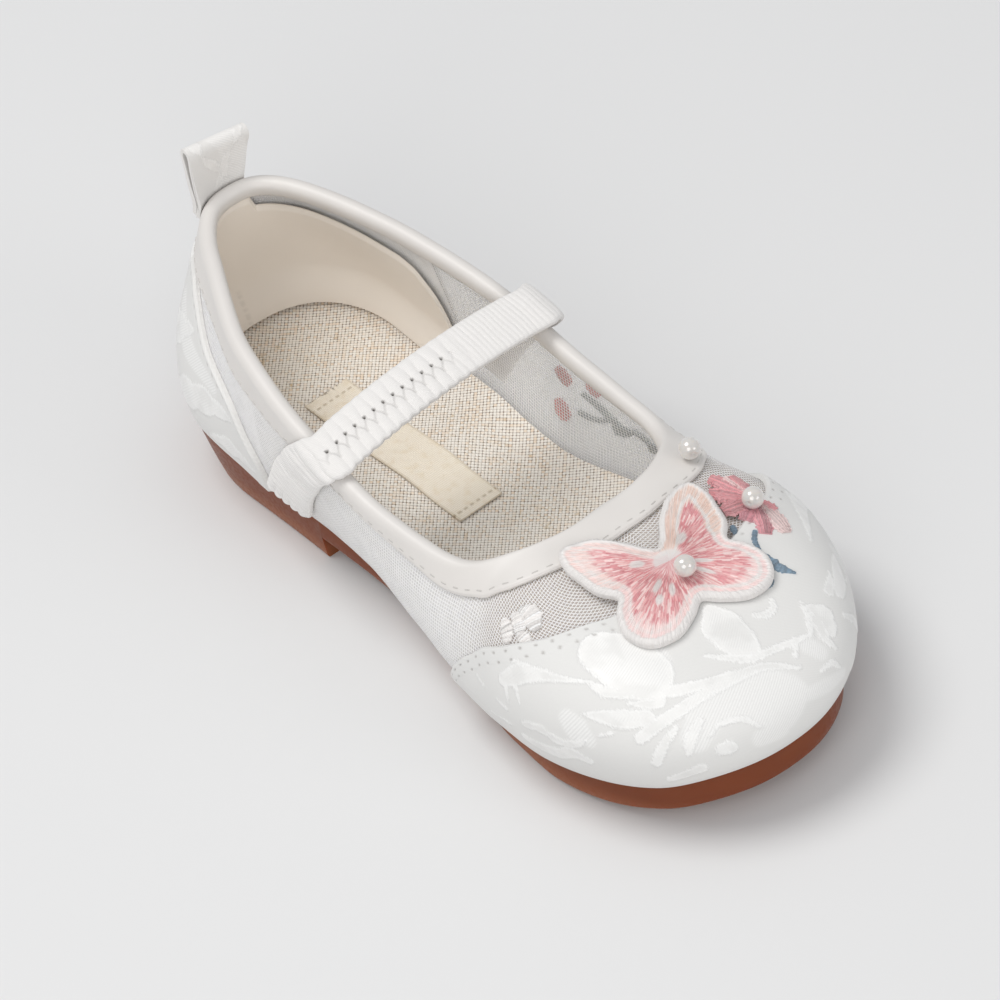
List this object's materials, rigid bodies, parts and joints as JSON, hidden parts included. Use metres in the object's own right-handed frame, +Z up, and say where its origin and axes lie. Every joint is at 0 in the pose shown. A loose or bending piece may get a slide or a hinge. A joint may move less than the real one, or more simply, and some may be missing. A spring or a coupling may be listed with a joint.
{
  "type": "mesh mary jane shoe",
  "caption": "Child's left mesh Mary Jane with damask toe cap and heel counter, bound collar, gathered elastic strap, pull loop, butterfly trim and low rubber heel.",
  "frame": {"origin": "on the floor, under the middle of the shoe's box", "axes": "+Z up, -Y towards the toe, +Y towards the heel, -X towards the inner (medial) side of this left shoe"},
  "size_m": [0.07, 0.17, 0.0614],
  "materials": {
    "rubber": "smooth caramel rubber with a soft sheen",
    "gauze": "fine stiff white mesh",
    "linen": "natural linen weave",
    "label_ribbon": "cream woven ribbon, bare",
    "damask": "white satin damask with a scroll figure",
    "binding": "smooth warm white synthetic leather",
    "elastic": "white smocked elastic",
    "brocade": "white brocade ribbon",
    "embroidery": "pink satin stitch with a white overcast border",
    "pearl": "pearl glaze"
  },
  "bodies": {
    "root": {"outsole": "rubber", "upper": "gauze", "insole": "linen", "insole_label": "label_ribbon", "toe_cap": "damask", "heel_counter": "damask", "collar_binding": "binding", "strap": "elastic", "pull_loop": "brocade", "butterfly": "embroidery", "pearl_butterfly": "pearl", "pearl_flower": "pearl", "pearl_collar": "pearl"}
  },
  "joints": []
}
